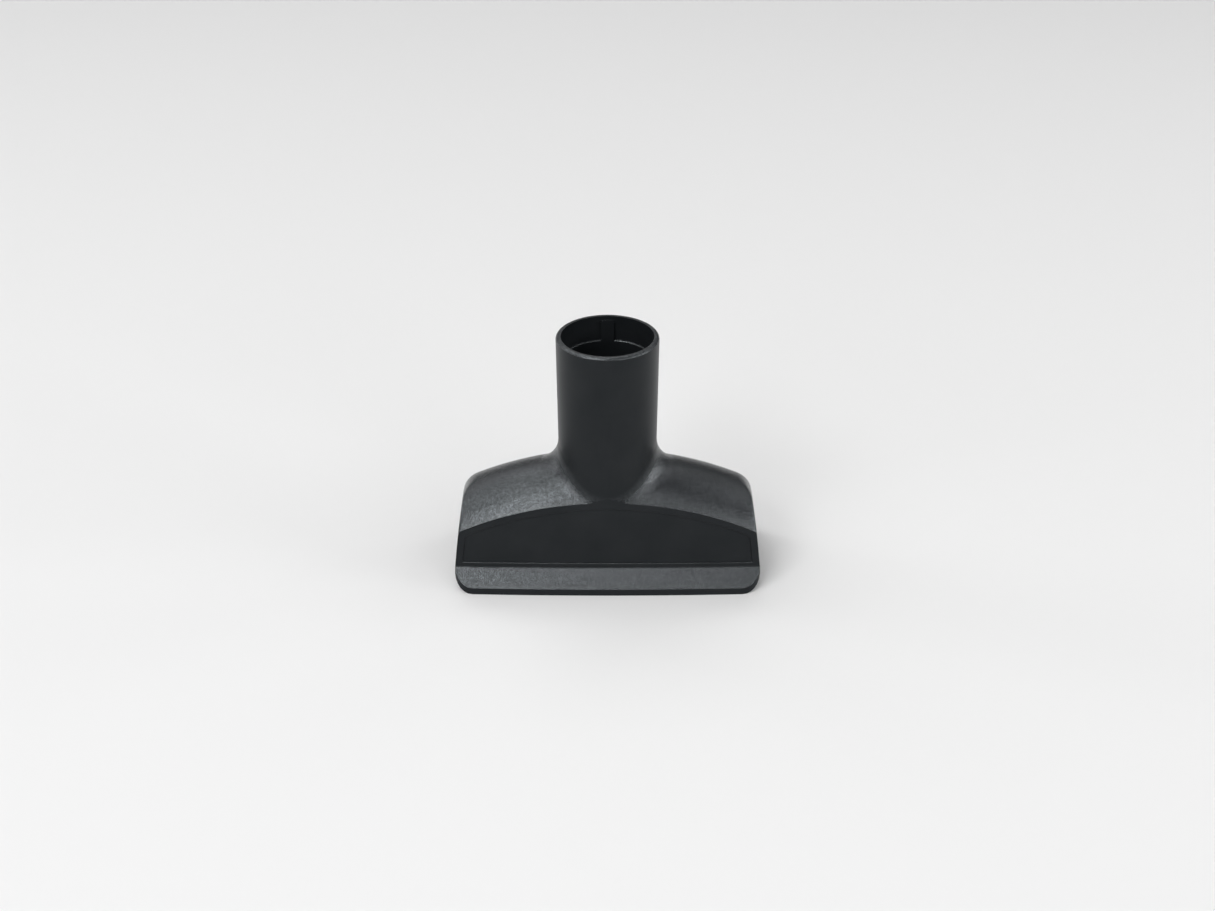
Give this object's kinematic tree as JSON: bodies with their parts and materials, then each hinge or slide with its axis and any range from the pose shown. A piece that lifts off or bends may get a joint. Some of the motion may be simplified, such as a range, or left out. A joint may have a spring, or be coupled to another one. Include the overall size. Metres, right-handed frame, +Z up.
{
  "type": "vacuum upholstery nozzle",
  "caption": "Vacuum upholstery nozzle: a wide arched suction head, open underneath, with a sunken field in its front, a sloped skirt and an upright round hose socket.",
  "frame": {"origin": "middle of the sole, on the plane that the nozzle stands on, under the axis of the hose socket", "axes": "+X along the head's width, +Y towards the plain back (the sunken field faces -Y), +Z up along the socket"},
  "size_m": [0.1206, 0.052, 0.1008],
  "materials": {
    "charcoal_plastic": "matte, with a fine moulded grain"
  },
  "bodies": {
    "root": {"nozzle_body": "charcoal_plastic"}
  },
  "joints": []
}
